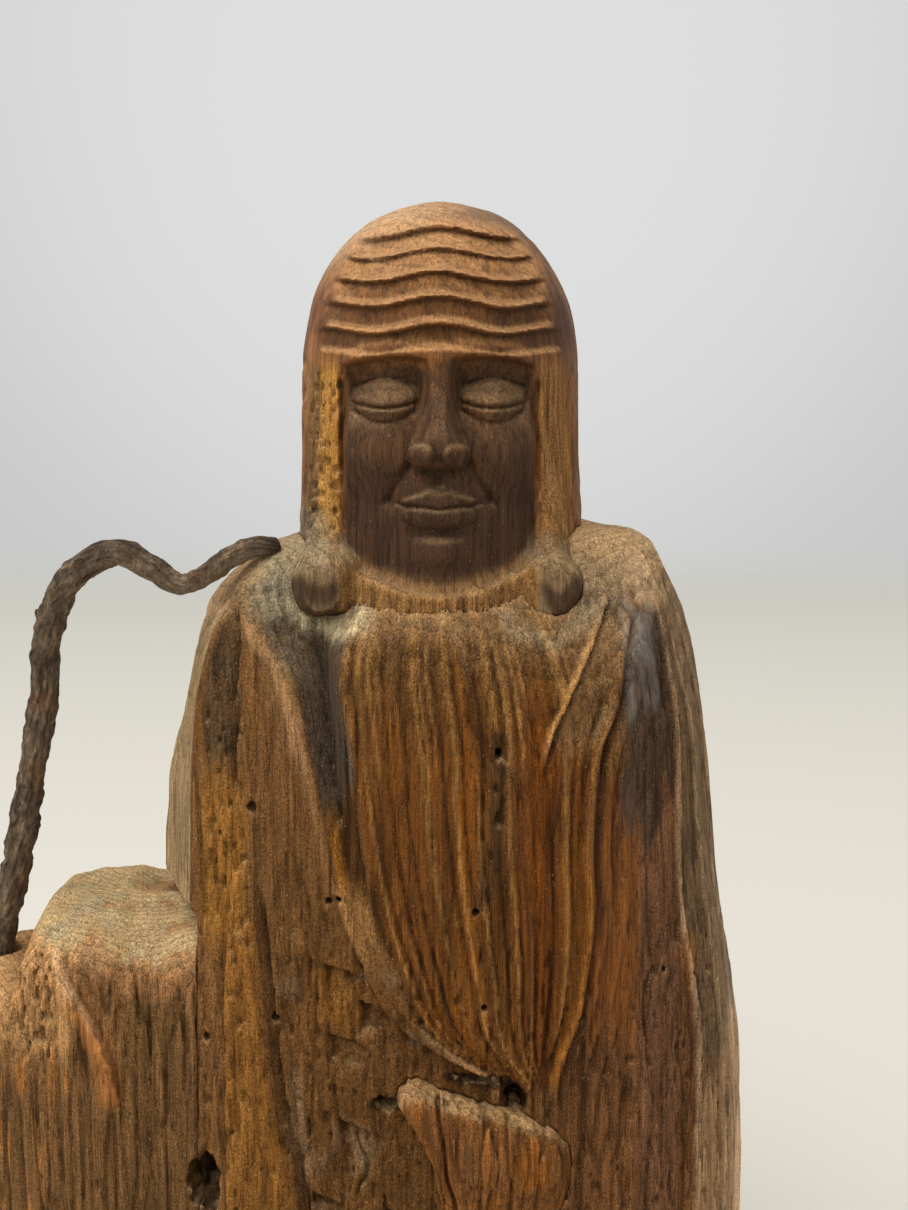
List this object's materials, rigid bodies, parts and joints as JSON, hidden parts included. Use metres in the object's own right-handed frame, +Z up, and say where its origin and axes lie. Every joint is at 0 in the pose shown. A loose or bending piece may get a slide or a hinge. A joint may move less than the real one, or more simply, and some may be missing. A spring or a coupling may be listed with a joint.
{
  "type": "carved wooden figurine",
  "caption": "Free-standing carved wood figurine of a long-bearded robed sage with a loose gnarled staff standing in its fist.",
  "frame": {"origin": "on the flat rest face, under the figure's pith line", "axes": "+Z up, the figure faces -Y, +X towards the figure's left side (right in a front view)"},
  "size_m": [0.1857, 0.1045, 0.3],
  "materials": {
    "robe_wood": "weathered, dusty, open grain",
    "head_wood": "waxed, satin",
    "limb_wood": "weathered, dusty, open grain",
    "hand_wood": "weathered, satin",
    "vine_bark": "rough fibrous bark",
    "dowel_wood": "raw, matt",
    "bamboo": "raw, satin"
  },
  "bodies": {
    "figure": {"trunk_block": "robe_wood", "head_block": "head_wood", "arm_limb": "limb_wood", "hand_block": "hand_wood", "limb_dowels": "dowel_wood", "hand_dowel": "dowel_wood", "neck_peg": "bamboo"},
    "loose_staff": {"staff": "vine_bark"}
  },
  "joints": [
    {"name": "staff_lift", "type": "slide", "parent": "figure", "child": "loose_staff", "axis": [0, 0, 1], "range_m": [0, 0.045]}
  ]
}
